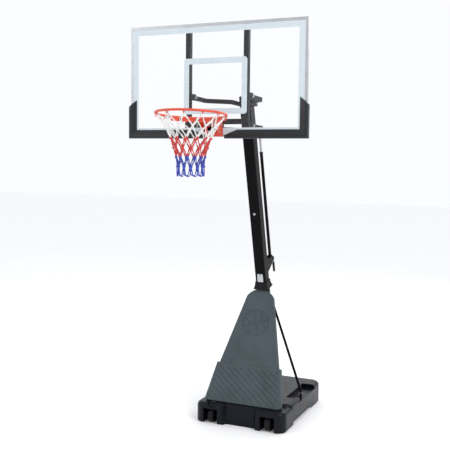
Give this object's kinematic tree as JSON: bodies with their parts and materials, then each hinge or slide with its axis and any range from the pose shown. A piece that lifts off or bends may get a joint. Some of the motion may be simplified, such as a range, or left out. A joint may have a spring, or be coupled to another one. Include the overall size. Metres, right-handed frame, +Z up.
{
  "type": "portable basketball hoop",
  "caption": "Portable basketball hoop: clear framed backboard, sprung rim with net, crank-raised parallel arms, leaning square pole, struts and a wheeled water-filled base with a cover.",
  "frame": {"origin": "centre of the base's footprint, on the floor", "axes": "+Z up, +X to the right seen from the front, the board faces -Y"},
  "size_m": [1.398, 2.1135, 3.096],
  "materials": {
    "steel_black": "satin black powder coat",
    "steel_zinc": "zinc-plated fasteners",
    "frame_silver": "thin silver frame tube",
    "sheet_clear": null,
    "print_white": "screen-printed pale lines",
    "pad_black": "padded vinyl skin over foam",
    "ring_orange": "orange-red powder coat",
    "net_cord": "braided cord in white, red and blue bands",
    "base_black": "blow-moulded polyethylene",
    "cover_grey": "textured slate-grey moulding",
    "collar_black": "soft black boot",
    "water": null,
    "wheel_black": "moulded wheel",
    "cap_black": "ribbed screw cap",
    "shaft_grey": "light grey shaft",
    "grip_black": "grip sleeve"
  },
  "bodies": {
    "base": {"base_tank": "base_black", "ballast_water": "water", "wheel_axles": "steel_black", "pole_lower": "steel_black", "pole_upper": "steel_black", "pole_coupler": "steel_black", "pole_joint_bolt": "steel_zinc", "pole_cap": "collar_black", "pole_foot": "steel_black", "pole_foot_bolt": "steel_zinc", "strut_left": "steel_black", "strut_right": "steel_black", "strut_bolts": "steel_zinc", "strut_foot_brackets": "steel_black", "front_cover": "cover_grey", "cover_collar": "collar_black", "cover_clip_plate": "steel_zinc", "cover_clip_bolt": "steel_zinc", "jack_bracket": "steel_black", "arm_pole_bolts": "steel_zinc", "arm_spacers": "collar_black"},
    "upper_arms": {"upper_arm_left": "steel_black", "upper_arm_right": "steel_black"},
    "lower_arms": {"lower_arm_left": "steel_black", "lower_arm_right": "steel_black"},
    "board": {"backboard_sheet": "sheet_clear", "frame_top": "frame_silver", "frame_bottom": "frame_silver", "frame_left": "frame_silver", "frame_right": "frame_silver", "border_print": "print_white", "target_print": "print_white", "upright_left": "steel_black", "upright_right": "steel_black", "crossbar": "steel_black", "arm_brackets": "steel_black", "arm_board_bolts": "steel_zinc", "backing_plate": "steel_black", "pad_left": "pad_black", "pad_right": "pad_black", "rim_plate": "ring_orange", "rim_bolts": "steel_zinc", "rim_pin": "steel_zinc", "rim_springs": "steel_black"},
    "rim": {"rim_ring": "ring_orange", "rim_strap": "ring_orange", "rim_housing": "ring_orange", "net_hooks": "ring_orange", "net": "net_cord"},
    "jack": {"jack_tube": "steel_black", "jack_gland": "collar_black"},
    "rod": {"jack_rod": "shaft_grey", "jack_nut": "steel_zinc", "jack_pin": "steel_zinc"},
    "crank": {"jack_screw": "shaft_grey", "crank_arm": "shaft_grey"},
    "grip": {"crank_grip": "grip_black"},
    "wheel_l": {"wheel_left": "wheel_black"},
    "wheel_r": {"wheel_right": "wheel_black"},
    "cap": {"fill_cap": "cap_black"}
  },
  "joints": [
    {"name": "lift", "type": "hinge", "parent": "base", "child": "upper_arms", "pos_m": [0, -0.375, 2.566], "axis": [-1, 0, 0], "range_deg": [-12, 40]},
    {"name": "lower_lift", "type": "hinge", "parent": "base", "child": "lower_arms", "pos_m": [0, -0.355, 2.358], "axis": [-1, 0, 0], "range_deg": [-12, 40]},
    {"name": "board_level", "type": "hinge", "parent": "upper_arms", "child": "board", "pos_m": [0, -0.895, 2.584], "axis": [-1, 0, 0], "range_deg": [-40, 12]},
    {"name": "jack_tilt", "type": "hinge", "parent": "base", "child": "jack", "pos_m": [0, 0.18, 1.29], "axis": [1, 0, 0], "range_deg": [-1.5, 5]},
    {"name": "jack_extend", "type": "slide", "parent": "jack", "child": "rod", "axis": [0, -0.2658, 0.964], "range_m": [-0.1355, 0.0408]},
    {"name": "crank_turn", "type": "hinge", "parent": "jack", "child": "crank", "pos_m": [0, 0.18, 1.29], "axis": [0, -0.2658, 0.964], "continuous": true},
    {"name": "grip_spin", "type": "hinge", "parent": "crank", "child": "grip", "pos_m": [0, 0.24555, 1.30808], "axis": [0, -0.2658, 0.964], "continuous": true},
    {"name": "rim_break", "type": "hinge", "parent": "board", "child": "rim", "pos_m": [0, -1.017, 2.375], "axis": [1, 0, 0], "range_deg": [0, 24], "stiffness_Nm_per_rad": 350, "springref_deg": -20.05},
    {"name": "wheel_left_spin", "type": "hinge", "parent": "base", "child": "wheel_l", "pos_m": [-0.245, -0.442, 0.0575], "axis": [1, 0, 0], "continuous": true},
    {"name": "wheel_right_spin", "type": "hinge", "parent": "base", "child": "wheel_r", "pos_m": [0.245, -0.442, 0.0575], "axis": [1, 0, 0], "continuous": true},
    {"name": "cap_lift", "type": "slide", "parent": "base", "child": "cap", "axis": [0, -0.4226, 0.9063], "range_m": [0, 0.12]}
  ],
  "couplings": [
    {"joint": "lower_lift", "follows": "lift", "ratio": 1},
    {"joint": "board_level", "follows": "lift", "ratio": -1},
    {"joint": "jack_tilt", "follows": "lift", "ratio": 0.12},
    {"joint": "jack_extend", "follows": "lift", "m_per_rad": -0.1937},
    {"joint": "crank_turn", "follows": "lift", "ratio": 121.7}
  ]
}
